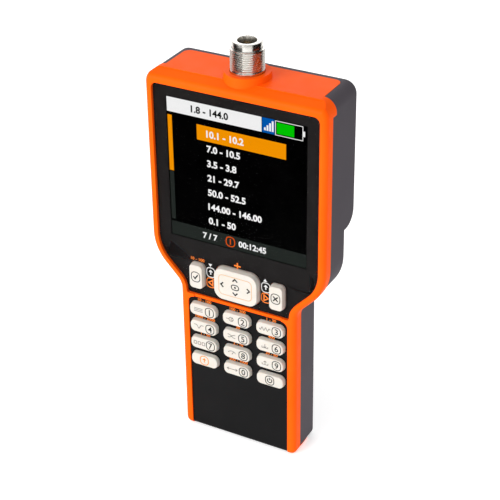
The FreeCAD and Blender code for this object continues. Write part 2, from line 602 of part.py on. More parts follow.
def make_rear_shell():
    """Grey moulding: sides, back, the battery bulge and the screw wells."""
    body = new_body("rear_shell")
    top = "body_height - shell_gap"
    wide = "(head_width / 2 - side_step)"
    corner = "head_corner - side_step"
    slab(body, case_outline("side_step", top, "0", corner, "base_corner"), "rim_depth", "grip_depth")
    slab(body, [(wide, "bulge_foot", None), (wide, top, corner), (f"-{wide}", top, corner),
                (f"-{wide}", "bulge_foot", None)], "grip_depth", "head_depth")
    soften(body, "bulge_round", bulge_edge)
    soften(body, "rear_round", rear_edges)
    inner_top = "body_height - case_wall - side_step"
    inner = f"({wide} - case_wall)"
    recess(body, [case_outline("side_step + case_wall", inner_top, "case_wall",
                               "head_corner - case_wall", "base_corner - case_wall")],
           "rim_depth - cut_over", "grip_depth - case_wall")
    recess(body, [[(inner, "bay_low - bay_wall", None), (inner, inner_top, "head_corner - case_wall"),
                   (f"-{inner}", inner_top, "head_corner - case_wall"),
                   (f"-{inner}", "bay_low - bay_wall", None)]],
           "grip_depth - case_wall - cut_over", BAY_BACK)
    recess(body, [span(f"-{inner}", inner, "bulge_foot + bulge_floor", "bay_low - bay_wall")],
           "grip_depth - case_wall - cut_over", "head_depth - bulge_core")
    recess(body, [rectangle("head_width + cut_over", "2 * (head_corner + cut_over + shell_gap)", None,
                            "0", "body_height")], "rim_depth - cut_over", "crown_depth + shell_gap")
    deck = fill_outline(sketch_on(body, "XY_Plane", "body_height"), deck_outline("rim_depth", "shell_gap"))
    add_pocket(body, deck, "case_wall + side_step + cut_over")
    side_cut(body, [("rim_depth - cut_over", "-cut_over", None),
                    ("sole_depth + shell_gap", "-cut_over", None),
                    ("sole_depth + shell_gap", "sole_edge + 2 * shell_gap", None),
                    ("rim_depth - cut_over", "sole_height + 3 * shell_gap", None)],
             "grip_width + cut_over")
    recess(body, [rectangle("socket_width + 2 * socket_gap", "2 * case_wall + sole_height")],
           f"{BOARD_BACK} - socket_gap", f"{BOARD_BACK} + socket_thick + socket_gap")
    slot_low, slot_high = "cover_low - slot_run", "cover_high + cover_gap"
    groove, slot = "(cover_half + tongue_reach + cover_gap)", "(cover_half + cover_gap)"
    recess(body, [span(f"-{groove}", groove, slot_low, slot_high)],
           f"{BAY_BACK} - cut_over", "head_depth - cover_skin + cover_gap / 2")
    recess(body, [span(f"-{slot}", slot, slot_low, slot_high)], BAY_BACK, "head_depth + cut_over")
    well = "screw_head + screw_clearance"
    pegs(body, HEAD_POSTS, f"{well} + well_wall", BOARD_BACK, BAY_BACK)
    pegs(body, GRIP_POSTS, f"{well} + well_wall", BOARD_BACK, "grip_depth - case_wall")
    bores(body, HEAD_POSTS + GRIP_POSTS, "screw_radius + screw_clearance",
          f"{BOARD_BACK} - cut_over", "screw_seat")
    bores(body, HEAD_POSTS, well, "screw_seat", "head_depth + cut_over")
    bores(body, GRIP_POSTS, well, "screw_seat", "grip_depth + cut_over")
    return keep(body, "rear_shell")


def make_window():
    """Clear display window with holes for the cursor keys, over a black printed mask."""
    for label, front, back in (("display_window", "0", "window_thick"),
                               ("window_mask", "window_thick", SEAT)):
        body = new_body(label)
        slab(body, case_outline("rim_width + window_gap", f"{WINDOW_TOP} - window_gap",
                                f"{WINDOW_LOW} + window_gap", "window_corner", "window_heel"),
             front, back)
        holes = cursor_outlines("key_gap", "nav_gap")
        if label == "window_mask":
            holes.append(rectangle("screen_width + 2 * mask_margin", "screen_height + 2 * mask_margin",
                                   None, "0", SCREEN_MID))
        recess(body, holes, f"{front} - cut_over", f"{back} + cut_over")
        keep(body, label)


def make_display():
    """Display glass in its folded metal tray, with a flat tail that reaches the main board."""
    body = new_body("display_glass")
    slab(body, rectangle("screen_width + 2 * glass_margin", "screen_height + 2 * glass_margin", None,
                         "0", SCREEN_MID), "tray_front - glass_thick", "tray_front")
    keep(body, "display_glass")
    body = new_body("display_tray")
    half = "(screen_width / 2 + tray_margin)"
    low = f"{SCREEN_MID} - screen_height / 2 - tray_tail"
    high = f"{SCREEN_MID} + screen_height / 2 + tray_margin"
    slab(body, span(f"-{half}", half, low, high), "tray_front", "tray_front + tray_thick")
    keep(body, "display_tray")
    tail_front = "tray_front + tray_thick"
    keep(box("flex", ("-flex_width / 2", tail_front, "flex_low"),
             ("flex_width", f"board_front - ({tail_front})", "flex_height")), "display_flex",
         "-flex_width / 2", "flex_low", tail_front)


def make_panel():
    """Black keypad panel, rolled over at the sole, with the twelve key holes."""
    body = new_body("keypad_panel")
    half, high = "(panel_width / 2 - window_gap)", "panel_top - window_gap"
    slab(body, [(half, "panel_lift", None), (half, high, "panel_corner"),
                (f"-{half}", high, "panel_corner"), (f"-{half}", "panel_lift", None)],
         "0", "panel_thick")
    slab(body, span(f"-{half}", half, "panel_lift", "lip_height"), "0", "lip_depth")
    soften(body, "lip_round", lambda edge: lies_at_depth(edge, 0)
           and edge.BoundBox.ZMax < value("panel_lift") + 0.01)
    recess(body, key_outlines("key_gap"), "-cut_over", "panel_thick + cut_over")
    keep(body, "keypad_panel")


def make_key(label, width, height, corner, across, up):
    """Key cap with bevelled sides, a stem through the panel and a flange behind the front wall."""
    body = new_body(label)
    slab(body, rectangle(f"{width} + 2 * flange_reach", f"{height} + 2 * flange_reach",
                         f"{corner} + flange_reach"), FLANGE_FRONT, f"{FLANGE_FRONT} + flange_thick")
    slab(body, rectangle(width, height, corner), "0", FLANGE_FRONT)
    cap = fill_outline(sketch_on(body, "XZ_Plane", "0"), rectangle(width, height, corner))
    add_pad(body, cap, "key_proud", taper="-key_taper")
    soften(body, "key_edge", lambda edge: lies_at_depth(edge, -value("key_proud")))
    return keep(body, label, across, up)


def make_keys():
    """Twelve wide keys in a grid and two tall keys beside the cursor pad."""
    for name, across, up in KEY_PLACES:
        make_key(name, "key_width", "key_height", "key_corner", across, up)
    for name, across in SIDE_KEY_PLACES:
        make_key(name, "side_key_width", "side_key_height", "side_key_corner", across, "cursor_height")


def make_cursor_pad():
    """Cursor pad on a small cross that lets it rock both ways, over a web that can be pressed."""
    web = new_body("nav_web")
    grow = "2 * (nav_gap + web_reach)"
    slab(web, rectangle(f"nav_width + {grow}", f"nav_height + {grow}", "nav_corner + nav_gap + web_reach"),
         FLANGE_FRONT, f"{FLANGE_FRONT} + web_thick")
    ear_mid = "(trunnion_reach - ear_inset - ear_thick / 2)"
    for side in ("", "-"):
        slab(web, rectangle("ear_thick", "2 * ear_half", None, f"{side}{ear_mid}"),
             "nav_pivot - ear_half", FLANGE_FRONT)
    sketch = fill_circle(sketch_on(web, "YZ_Plane", "0"), "nav_pivot", "0",
                         "trunnion_radius + trunnion_gap")
    add_pocket(web, sketch, "4 * trunnion_reach", symmetric=True)
    keep(web, "nav_web", "0", "cursor_height")

    arms = []
    for name, axis in (("trunnion_across", FreeCAD.Vector(0, 1, 0)), ("trunnion_up", None)):
        arm = doc.addObject("Part::Cylinder", name)
        bind(arm, "Radius", "trunnion_radius")
        bind(arm, "Height", "2 * trunnion_reach")
        if axis is not None:
            arm.Placement.Rotation = FreeCAD.Rotation(axis, 90)
        bind(arm, "Placement.Base.x" if axis is not None else "Placement.Base.z", "-trunnion_reach")
        bind(arm, "Placement.Base.y", "nav_pivot")
        arms.append(arm)
    hub = doc.addObject("Part::Sphere", "hub")
    bind(hub, "Radius", "hub_radius")
    bind(hub, "Placement.Base.y", "nav_pivot")
    keep(fuse("cross", arms + [hub]), "nav_gimbal", "0", "cursor_height")

    pad = new_body("nav_pad")
    slab(pad, rectangle("nav_width", "nav_height", "nav_corner"), "0", "nav_back")
    cap = fill_outline(sketch_on(pad, "XZ_Plane", "0"), rectangle("nav_width", "nav_height", "nav_corner"))
    add_pad(pad, cap, "key_proud", taper="-key_taper")
    soften(pad, "key_edge", lambda edge: lies_at_depth(edge, -value("key_proud")))
    recess(pad, [rectangle("nav_room", "nav_room", None)], "nav_back - nav_hollow", "nav_back + cut_over")
    for side in ("", "-"):
        slab(pad, rectangle("2 * ear_half", "ear_thick", None, "0", f"{side}{ear_mid}"),
             "nav_back - nav_hollow", "nav_pivot + ear_half")
    sketch = fill_circle(sketch_on(pad, "XY_Plane", "0"), "0", "nav_pivot",
                         "trunnion_radius + trunnion_gap")
    add_pocket(pad, sketch, "4 * trunnion_reach", symmetric=True)
    keep(pad, "nav_pad", "0", "cursor_height")


def make_mat():
    """Silicone mat behind the keys, lying on the metal snap domes."""
    body = new_body("keypad_mat")
    low = "panel_top - row_drop - 3 * row_pitch - key_height / 2 - mat_tail"
    slab(body, span("-mat_width / 2", "mat_width / 2", low, "mat_top", "mat_corner"),
         MAT_FRONT, f"{MAT_FRONT} + mat_thick")
    keep(body, "keypad_mat")
    places = [(across, up) for name, across, up in KEY_PLACES]
    places += [(across, "cursor_height") for name, across in SIDE_KEY_PLACES] + [("0", "cursor_height")]
    domes = [rod("dome", (across, "board_front - dome_height", up), "dome_radius", "dome_height", "y")
             for across, up in places]
    keep(group("domes", domes), "snap_domes")


def make_boards():
    """Main board and what is soldered to its back."""
    body = new_body("main_board")
    slab(body, case_outline("side_step + case_wall + board_gap",
                            "body_height - case_wall - board_drop", "case_wall + board_lift",
                            "base_corner", "base_corner"), "board_front", BOARD_BACK)
    bores(body, HEAD_POSTS + GRIP_POSTS, "screw_radius + screw_clearance",
          "board_front - cut_over", f"{BOARD_BACK} + cut_over")
    keep(body, "main_board")
    can = box("can", ("-shield_width / 2", BOARD_BACK, "shield_low"),
              ("shield_width", "shield_thick", "shield_height"))
    room = box("can_room", ("-shield_width / 2 + shield_wall", f"{BOARD_BACK} - cut_over",
                            "shield_low + shield_wall"),
               ("shield_width - 2 * shield_wall", "shield_thick + cut_over - shield_wall",
                "shield_height - 2 * shield_wall"))
    keep(cut("shield", can, room), "radio_shield")
    chips = [box("processor", ("-chip_side / 2", BOARD_BACK, "chip_low"),
                 ("chip_side", "chip_thick", "chip_side"))]
    for side in ("", "-"):
        chips.append(box("memory", (f"{side}memory_shift - memory_width / 2", BOARD_BACK, "chip_low"),
                         ("memory_width", "chip_thick", "memory_height")))
    keep(group("chips", chips), "board_chips")
    keep(box("radio", ("radio_shift - radio_width / 2", BOARD_BACK, "radio_low"),
             ("radio_width", "radio_thick", "radio_height")), "wireless_module",
         "radio_shift - radio_width / 2", "radio_low", BOARD_BACK)
    drum = rod("drum", ("-buzzer_shift", BOARD_BACK, "buzzer_level"), "buzzer_radius", "buzzer_height", "y")
    port = rod("port", ("-buzzer_shift", f"{BOARD_BACK} + buzzer_height / 2", "buzzer_level"),
               "buzzer_hole", "buzzer_height", "y")
    keep(cut("sounder", drum, port), "buzzer")


def make_data_socket():
    """Small socket in the sole for charging and data, with its contact tongue."""
    width = "socket_width"
    shell = box("jacket", (f"-{width} / 2", BOARD_BACK, "socket_lift"),
                (width, "socket_thick", "socket_length"))
    room = box("jacket_room", (f"-{width} / 2 + socket_wall", f"{BOARD_BACK} + socket_wall",
                               "socket_lift - cut_over"),
               (f"{width} - 2 * socket_wall", "socket_thick - 2 * socket_wall",
                "socket_length + cut_over - socket_wall"))
    tongue = box("tongue", ("-tongue_width / 2",
                            f"{BOARD_BACK} + socket_thick / 2 - tongue_thick / 2",
                            "socket_lift + tongue_short"),
                 ("tongue_width", "tongue_thick", "socket_length - tongue_short - socket_wall / 2"))
    keep(fuse("socket", [cut("open_jacket", shell, room), tongue]), "data_socket")


def make_battery():
    """Battery tray with three cells, their contacts and springs, and the pins to the board."""
    body = new_body("battery_tray")
    outer = "(bay_half + bay_wall)"
    slab(body, span(f"-{outer}", outer, "bay_low - bay_wall", f"{BAY_TOP} + bay_wall"),
         f"{BAY_FRONT} - bay_wall", BAY_BACK)
    lip = f"({outer} + tray_lip)"
    slab(body, span(f"-{lip}", lip, "bay_low - bay_wall", f"{BAY_TOP} + bay_wall"),
         f"{BAY_BACK} - tray_lip_thick", BAY_BACK)
    recess(body, [span("-bay_half", "bay_half", "bay_low", BAY_TOP)], BAY_FRONT, f"{BAY_BACK} + cut_over")
    keep(body, "battery_tray")
    cell_low = "bay_low + contact_thick + spring_height"
    for number, shift in enumerate(CELL_SHIFTS, start=1):
        can = rod("can", (shift, CELL_DEPTH, cell_low), "cell_radius", "cell_length - cell_tip_height")
        tip = rod("tip", (shift, CELL_DEPTH, f"{cell_low} + cell_length - cell_tip_height"),
                  "cell_tip_radius", "cell_tip_height")
        keep(fuse("cell", [can, tip]), f"battery_cell_{number}")
    plates, springs = [], []
    for shift in CELL_SHIFTS:
        for level in ("bay_low", f"{BAY_TOP} - contact_thick"):
            plates.append(box("plate", (f"{shift} - contact_side / 2",
                                        f"{CELL_DEPTH} - contact_side / 2", level),
                              ("contact_side", "contact_side", "contact_thick")))
        springs.append(rod("coil", (shift, CELL_DEPTH, "bay_low + contact_thick"),
                           ("spring_wide", "spring_tip"), "spring_height", kind="Part::Cone"))
    keep(group("plates", plates), "contact_plates")
    keep(group("coils", springs), "contact_springs")
    pins = [rod("pin", (f"{side}pin_spread", BOARD_BACK, "pin_level"), "pin_radius",
                f"{BAY_FRONT} - bay_wall - ({BOARD_BACK})", "y") for side in ("", "-")]
    keep(group("pins", pins), "battery_pins")


def make_battery_cover():
    """Sliding cover: a skin flush with the back and a wider tongue that runs in the grooves."""
    body = new_body("battery_cover")
    wide = "(cover_half + tongue_reach)"
    joint = "head_depth - cover_skin"
    slab(body, span("-cover_half", "cover_half", "cover_low", "cover_high"), joint, "head_depth")
    slab(body, span(f"-{wide}", wide, "cover_low", "cover_high"), f"{joint} - tongue_depth", joint)
    ridges = [rectangle("rib_width", "rib_height", None, "0", f"rib_level + {index} * rib_pitch")
              for index in range(4)]
    recess(body, ridges, "head_depth - rib_depth", "head_depth + cut_over")
    keep(body, "battery_cover")


def make_case_screws():
    """Six screws from the back, through the board, into the posts of the front shell."""
    screws = []
    for across, up in HEAD_POSTS + GRIP_POSTS:
        shank = rod("shank", (across, "board_front - screw_bite", up), "screw_radius",
                    "screw_seat - board_front + screw_bite", "y")
        head = rod("head", (across, "screw_seat", up), "screw_head", "screw_head_height", "y")
        screws.append(fuse("screw", [shank, head]))
    keep(group("screws", screws), "case_screws")


def make_port():
    """Coaxial socket: threaded barrel on a square flange, insulator, centre contact and fixings."""
    turns = int((value("thread_high") - value("thread_low")) / value("thread_pitch"))
    profile = [("sleeve_radius", STUB_LOW), ("stub_radius", STUB_LOW), ("stub_radius", FLANGE_LOW),
               ("thread_radius", FLANGE_LOW)]
    for turn in range(turns):
        profile.append(("thread_radius", f"thread_low + {turn} * thread_pitch"))
        profile.append(("thread_radius - thread_depth", f"thread_low + {turn + 0.5} * thread_pitch"))
    profile += [("thread_radius", f"thread_low + {turns} * thread_pitch"), ("thread_radius", "thread_high"),
                ("nose_radius", "thread_high"), ("nose_radius", "rim_high - nose_edge"),
                ("nose_radius - nose_edge", "rim_high"), ("mouth_radius", "rim_high"),
                ("mouth_radius", "rim_high - mouth_depth"), ("sleeve_radius", "rim_high - mouth_depth")]
    body = revolve("port_body", [(u, v, None) for u, v in profile])
    plate = fill_outline(sketch_on(body, "XY_Plane", FLANGE_LOW),
                         rectangle("flange_side", "flange_side", None, "0", "port_setback"))
    add_pad(body, plate, "port_flange")
    top_bores(body, [("0", "port_setback")], "sleeve_radius", STUB_LOW, f"{FLANGE_LOW} + port_flange")
    top_bores(body, PORT_SCREWS, "port_screw_radius + shell_gap", FLANGE_LOW,
              f"{FLANGE_LOW} + port_flange")
    keep(body, "port_body")

    gasket = new_body("port_gasket")
    ring = sketch_on(gasket, "XY_Plane", f"{FLANGE_LOW} + port_flange")
    fill_outline(ring, rectangle("flange_side", "flange_side", None, "0", "port_setback"))
    add_pad(gasket, ring, "gasket_thick")
    lower, upper = "body_height - case_wall - cut_over", "body_height"
    top_bores(gasket, [("0", "port_setback")], "thread_radius + boss_gap", lower, upper)
    top_bores(gasket, PORT_SCREWS, "port_screw_radius + shell_gap", lower, upper)
    keep(gasket, "port_gasket")

    keep(revolve("port_insulator", [("contact_radius", STUB_LOW, None), ("sleeve_radius", STUB_LOW, None),
                                    ("sleeve_radius", "insulator_high", None),
                                    ("contact_radius", "insulator_high", None)]), "port_insulator")
    tip = "rim_high - mouth_depth - shell_gap"
    contact = revolve("port_contact", [("0", "contact_low", None), ("contact_radius", "contact_low", None),
                                       ("contact_radius", tip, None), ("contact_bore", tip, None),
                                       ("contact_bore", "insulator_high", None),
                                       ("0", "insulator_high", None)])
    for width, depth in (("contact_slit", "3 * contact_radius"), ("3 * contact_radius", "contact_slit")):
        slit = fill_outline(sketch_on(contact, "XY_Plane", tip),
                            rectangle(width, depth, None, "0", "port_setback"))
        add_pocket(contact, slit, f"({tip} - insulator_high) / 2")
    keep(contact, "port_contact")

    screws = []
    for across, depth in PORT_SCREWS:
        shank = rod("shank", (across, depth, FLANGE_LOW), "port_screw_radius",
                    "port_flange + gasket_thick + port_screw_bite - shell_gap")
        head = rod("head", (across, depth, f"{FLANGE_LOW} - port_screw_cap"), "port_screw_head",
                   "port_screw_cap")
        screws.append(fuse("screw", [shank, head]))
    keep(group("port_screw_set", screws), "port_screws")
    keep(box("lead", ("-lead_width / 2", BOARD_BACK, "contact_low"),
             ("lead_width", f"port_setback - contact_radius - shell_gap - ({BOARD_BACK})", "lead_thick")),
         "port_lead", "-lead_width / 2", "contact_low", BOARD_BACK)


make_front_shell()
make_rear_shell()
make_window()
make_display()
make_panel()
make_keys()
make_cursor_pad()
make_mat()
make_boards()
make_data_socket()
make_battery()
make_battery_cover()
make_case_screws()
make_port()
doc.recompute()

for item in doc.Objects:
    if "Invalid" in item.State or "Error" in item.State:
        raise RuntimeError(f"{item.Name} ({item.Label}) did not build: {item.State}")
    if item.TypeId == "PartDesign::Pocket":
        before = item.BaseFeature.Shape.Volume
        if item.Shape.Volume > before - 1e-6:
            raise RuntimeError(f"{item.Name} of {item.getParentGeoFeatureGroup().Name} cuts nothing")
for item in NODES:
    if item.Shape.isNull() or not item.Shape.isValid():
        raise RuntimeError(f"{item.Label} has no valid shape")

os.makedirs("parts", exist_ok=True)
for item in NODES:
    item.Shape.exportStep(f"parts/{item.Label}.step")
    print(item.Label, len(item.Shape.Solids), round(item.Shape.Volume, 1))
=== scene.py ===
import math
import bmesh
import bpy
import numpy as np
from mathutils import Matrix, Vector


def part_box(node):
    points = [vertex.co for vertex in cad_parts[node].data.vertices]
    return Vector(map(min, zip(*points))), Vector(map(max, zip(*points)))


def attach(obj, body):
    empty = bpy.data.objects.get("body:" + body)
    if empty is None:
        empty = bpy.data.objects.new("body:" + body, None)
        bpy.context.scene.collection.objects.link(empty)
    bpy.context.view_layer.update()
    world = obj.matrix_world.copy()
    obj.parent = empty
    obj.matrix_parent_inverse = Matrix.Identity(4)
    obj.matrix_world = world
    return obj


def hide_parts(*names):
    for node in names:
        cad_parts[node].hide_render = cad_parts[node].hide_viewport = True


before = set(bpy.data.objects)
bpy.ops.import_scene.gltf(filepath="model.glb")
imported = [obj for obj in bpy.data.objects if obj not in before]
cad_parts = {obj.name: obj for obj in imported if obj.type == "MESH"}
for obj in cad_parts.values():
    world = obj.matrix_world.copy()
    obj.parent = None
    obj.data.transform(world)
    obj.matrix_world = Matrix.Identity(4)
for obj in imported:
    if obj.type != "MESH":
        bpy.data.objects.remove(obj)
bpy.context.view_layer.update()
MM = 0.001


# Front shell: the orange half of the casing, with its rim, its top deck and the boss round the socket.
# It is ABS, injection moulded in a spark-eroded tool, and screws pull it onto the rear shell.
def linear(colour):
    """Turn an sRGB hex colour to the linear colour that shaders take."""
    parts = np.array([int(colour[i:i + 2], 16) for i in (0, 2, 4)]) / 255
    straight = np.where(parts <= 0.04045, parts / 12.92, ((parts + 0.055) / 1.055) ** 2.4)
    return (*straight, 1.0)


def add(tree, kind, settings=(), links=()):
    """Add a node, set its options and free inputs, and link its other inputs to sockets."""
    node = tree.nodes.new("ShaderNode" + kind)
    for name, setting in dict(settings).items():
        if isinstance(name, str) and hasattr(node, name):
            setattr(node, name, setting)
        else:
            node.inputs[name].default_value = setting
    for name, socket in dict(links).items():
        tree.links.new(socket, node.inputs[name])
    return node


def finish(name, colour, roughness, **others):
    """Start a material with its plain colour and shine, and give it with its tree and its shader."""
    material = bpy.data.materials.new(name)
    material.use_nodes = True
    shader = material.node_tree.nodes["Principled BSDF"]
    shader.inputs["Base Color"].default_value = linear(colour)
    shader.inputs["Roughness"].default_value = roughness
    for label, setting in others.items():
        shader.inputs[label.replace("_", " ")].default_value = setting
    return material, material.node_tree, shader


def spread(tree, size, detail=2.0, stretch=(1, 1, 1)):
    """Give a soft irregular pattern of the given width in millimetres, drawn out along the axes by stretch."""
    place = add(tree, "TexCoord").outputs["Object"]
    drawn = add(tree, "Mapping", {"Scale": tuple(1 / part for part in stretch)}, {"Vector": place})
    scale = {"Scale": 1 / (size * MM), "Detail": detail}
    return add(tree, "TexNoise", scale, {"Vector": drawn.outputs[0]}).outputs[0]


def grain(tree, shader, size, depth, stretch=(1, 1, 1)):
    """Raise a fine irregular grain; size is its width and depth its height, both in millimetres."""
    height = {"Height": spread(tree, size, stretch=stretch)}
    bump = add(tree, "Bump", {"Strength": 1.0, "Distance": depth * MM}, height)
    tree.links.new(bump.outputs["Normal"], shader.inputs["Normal"])


def mottle(tree, shader, low, high, size):
    """Let the colour drift between two near shades over patches of the given width in millimetres."""
    share = add(tree, "MapRange", {"From Min": 0.3, "From Max": 0.7}, {"Value": spread(tree, size, 3.0)})
    mix = add(tree, "Mix", {"data_type": "RGBA", 6: linear(low), 7: linear(high)}, {0: share.outputs[0]})
    tree.links.new(mix.outputs[2], shader.inputs["Base Color"])


def polish(tree, shader, low, high, size, stretch=(1, 1, 1)):
    """Let the roughness drift between two values over patches of the given width in millimetres."""
    settings = {"From Min": 0.3, "From Max": 0.7, "To Min": low, "To Max": high}
    share = add(tree, "MapRange", settings, {"Value": spread(tree, size, stretch=stretch)})
    tree.links.new(share.outputs[0], shader.inputs["Roughness"])


def dress(material, *nodes):
    """Give CAD nodes their finish."""
    for node in nodes:
        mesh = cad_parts[node].data
        mesh.materials.clear()
        mesh.materials.append(material)


# The eye sees one even, saturated orange with a soft satin sheen and no sharp reflections
orange_abs, tree, shader = finish("orange_abs_satin_moulded", "FF5B09", 0.4, Specular_IOR_Level=0.03)
mottle(tree, shader, "FF5806", "FF5E0C", 25)
polish(tree, shader, 0.36, 0.44, 6)
# Real spark grain is about 0.05 mm, too fine to show, so it is drawn at 0.35 mm
grain(tree, shader, 0.35, 0.006)
dress(orange_abs, "front_shell")

# Display window: one clear acrylic sheet over the whole head, glued into the front shell's step.
# It is cast sheet, cut to shape and coated against glare, and black ink is printed on its back.
# The eye sees almost nothing of the coated sheet itself, only a faint shine at its edges
acrylic, tree, shader = finish("clear_acrylic_coated", "0A0A0B", 0.03, Alpha=0.05, Specular_IOR_Level=0.05)
polish(tree, shader, 0.02, 0.05, 12)
dress(acrylic, "display_window")
# Screen ink is dull and not quite black, a shade lighter than the dark display beside it
screen_ink, tree, shader = finish("black_screen_ink", "191717", 0.45, Specular_IOR_Level=0.06)
mottle(tree, shader, "171515", "1B1919", 14)
grain(tree, shader, 0.4, 0.003)
dress(screen_ink, "window_mask")

# Display: a glass face in a folded metal tray, wired to the board by a flat amber tail.
# The tray is pressed from rolled sheet, and the tail is copper tracks between two films.
# Unlit, the face is a deep black that takes hardly any light
dark_glass, tree, shader = finish("display_glass_dark", "010101", 0.4, Specular_IOR_Level=0.0)
mottle(tree, shader, "000000", "020202", 10)
dress(dark_glass, "display_glass")
# Rolled sheet is bright, with faint lines along the way that it was rolled
aluminium, tree, shader = finish("rolled_aluminium", "C9CBCC", 0.35, Metallic=1.0)
polish(tree, shader, 0.28, 0.42, 0.6, (20, 1, 1))
grain(tree, shader, 0.5, 0.004, (20, 1, 1))
dress(aluminium, "display_tray")
# The amber film is clear enough to show its copper tracks, 1 mm apart
TRACK_PITCH = 1.0
film, tree, shader = finish("amber_polyimide_film", "C07A22", 0.3)
place = add(tree, "TexCoord").outputs["Object"]
# A wave texture counts 20 radians to the unit
tracks = add(tree, "TexWave", {"bands_direction": "X", "Scale": 2 * math.pi / (20 * TRACK_PITCH * MM)},
             {"Vector": place})
mix = add(tree, "Mix", {"data_type": "RGBA", 6: linear("9A5C18"), 7: linear("D0902E")},
          {0: tracks.outputs[1]})
tree.links.new(mix.outputs[2], shader.inputs["Base Color"])
dress(film, "display_flex")

# Keypad panel: a thin black plate over the handle, rolled over at the sole, with a hole for each key.
# It is ABS, moulded in a spark-eroded tool and glued down round its edge.
# The eye sees a soft black, a little greyer where it faces the light
panel_abs, tree, shader = finish("black_abs_satin_moulded", "0C0C0D", 0.42, Specular_IOR_Level=0.08)
mottle(tree, shader, "0A0A0B", "0E0E0F", 18)
grain(tree, shader, 0.35, 0.005)
dress(panel_abs, "keypad_panel")

# Keys and cursor pad: cream caps with bevelled sides that stand up through the panel.
# They are moulded in filled silicone rubber, each on a thin web that folds as it is pressed.
# The rubber is matt, and lets a little warm light in at its edges
cream, tree, shader = finish("cream_silicone_matt", "C8C2B9", 0.5, Specular_IOR_Level=0.3,
                             Subsurface_Weight=0.2)
shader.inputs["Subsurface Radius"].default_value = (1.0 * MM, 0.5 * MM, 0.3 * MM)
shader.inputs["Subsurface Scale"].default_value = 1.0
mottle(tree, shader, "C6C0B6", "CAC4BC", 5)
grain(tree, shader, 0.3, 0.006)
KEYS = [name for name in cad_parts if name.startswith("key_")]
dress(cream, "nav_pad", "nav_web", *KEYS)


# Key print: a ringed figure and a small sign on each key, pad printed and cured.
# Each mark is a thin plate or stroke of ink that stands a few hundredths of a millimetre proud. The exception
# is one pale line on the cursor pad, which is painted shade drawn the same way.
def cells(points, closed_rows=False):
    """Quads between neighbouring rows and columns of a grid of points; the columns always close."""
    rows, columns = points.shape[:2]
    i = np.arange(rows if closed_rows else rows - 1)[:, None]
    j = np.arange(columns)[None, :]
    ahead, beside = (i + 1) % rows, (j + 1) % columns
    corners = [i * columns + j, i * columns + beside, ahead * columns + beside, ahead * columns + j]
    return points.reshape(-1, 3), np.stack(corners, -1).reshape(-1, 4)


def upright(flat, depth):
    """Stand points (across, up) in millimetres at their depth along y, and give them in metres."""
    return np.stack([flat[..., 0], np.broadcast_to(depth, flat.shape[:-1]), flat[..., 1]], -1) * MM


def rounded(width, height, radius, centre=(0, 0), steps=6):
    """Outline of a rounded rectangle: four quarter arcs, one about each corner's middle."""
    turn = np.linspace(0, math.pi / 2, steps)[None, :] + np.arange(4)[:, None] * math.pi / 2
    side = np.array([(1, 1), (-1, 1), (-1, -1), (1, -1)])
    middles = side * (np.array([width, height]) / 2 - radius)
    arcs = middles[:, None, :] + radius * np.stack([np.cos(turn), np.sin(turn)], -1)
    return arcs.reshape(-1, 2) + np.array(centre)


def ring(radius, centre=(0, 0), sweep=(0, 360), steps=24):
    """Points on a circle, or on the arc of it between two angles in degrees."""
    turn = np.radians(np.linspace(*sweep, steps, endpoint=sweep != (0, 360)))
    return radius * np.stack([np.cos(turn), np.sin(turn)], -1) + np.array(centre)


def plate(outline, level, proud):
    """A filled plate: the outline at two depths, each closed by a pole at its middle."""
    outline = np.asarray(outline, float)
    pole = np.broadcast_to(outline.mean(0), outline.shape)
    depth = np.array([level + SINK, level + SINK, level - proud, level - proud])
    return cells(upright(np.stack([pole, outline, outline, pole]), depth[:, None]))


def stroke(path, width, level, proud, closed=False):
    """A flat line: a rectangle carried along the path, mitred where the path turns."""
    path = np.asarray(path, float)
    ahead = np.roll(path, -1, 0) - path
    if not closed:
        ahead[-1] = ahead[-2]
    before = np.roll(ahead, 1, 0)
    if not closed:
        before[0] = ahead[0]
    ahead, before = (part / np.linalg.norm(part, axis=1)[:, None] for part in (ahead, before))
    normal = np.stack([-(ahead + before)[:, 1], (ahead + before)[:, 0]], -1)
    normal = normal / np.linalg.norm(normal, axis=1)[:, None]
    mitre = np.maximum(normal[:, 1] * ahead[:, 0] - normal[:, 0] * ahead[:, 1], 0.3)
    aside = normal * (width / 2 / mitre)[:, None]
    left, right = path + aside, path - aside
    flat = np.stack([left, right, right, left], 1)
    if not closed:
        ends = np.broadcast_to(path[[0, -1], None, :], (2, 4, 2))
        flat = np.concatenate([ends[:1], flat, ends[1:]])
    depth = np.array([level + SINK, level + SINK, level - proud, level - proud])
    return cells(upright(flat, depth), closed_rows=closed)


def figures(text, height, place, level, proud, start=0.5, weight=0.012):
    """Plain figures from the built-in face, thickened by weight; start is 0 where place is their left end."""
    letters = bpy.data.curves.new("figures", "FONT")
    letters.body = text
    letters.size = height
    letters.offset = height * weight
    letters.extrude = (proud + SINK) / 2
    letters.resolution_u = 4
    carrier = bpy.data.objects.new("figures", letters)
    mesh = bpy.data.meshes.new_from_object(carrier)
    mesh.calc_loop_triangles()
    points = np.empty(len(mesh.vertices) * 3)
    mesh.vertices.foreach_get("co", points)
    triangles = np.empty(len(mesh.loop_triangles) * 3, np.int32)
    mesh.loop_triangles.foreach_get("vertices", triangles)
    bpy.data.objects.remove(carrier)
    points = points.reshape(-1, 3)
    low, high = points[:, :2].min(0), points[:, :2].max(0)
    scale = height / (high - low)[1]
    flat = (points[:, :2] - low - (high - low) * (start, 0.5)) * scale + np.array(place)
    return upright(flat, level + (SINK - proud) / 2 - points[:, 2]), triangles.reshape(-1, 3)


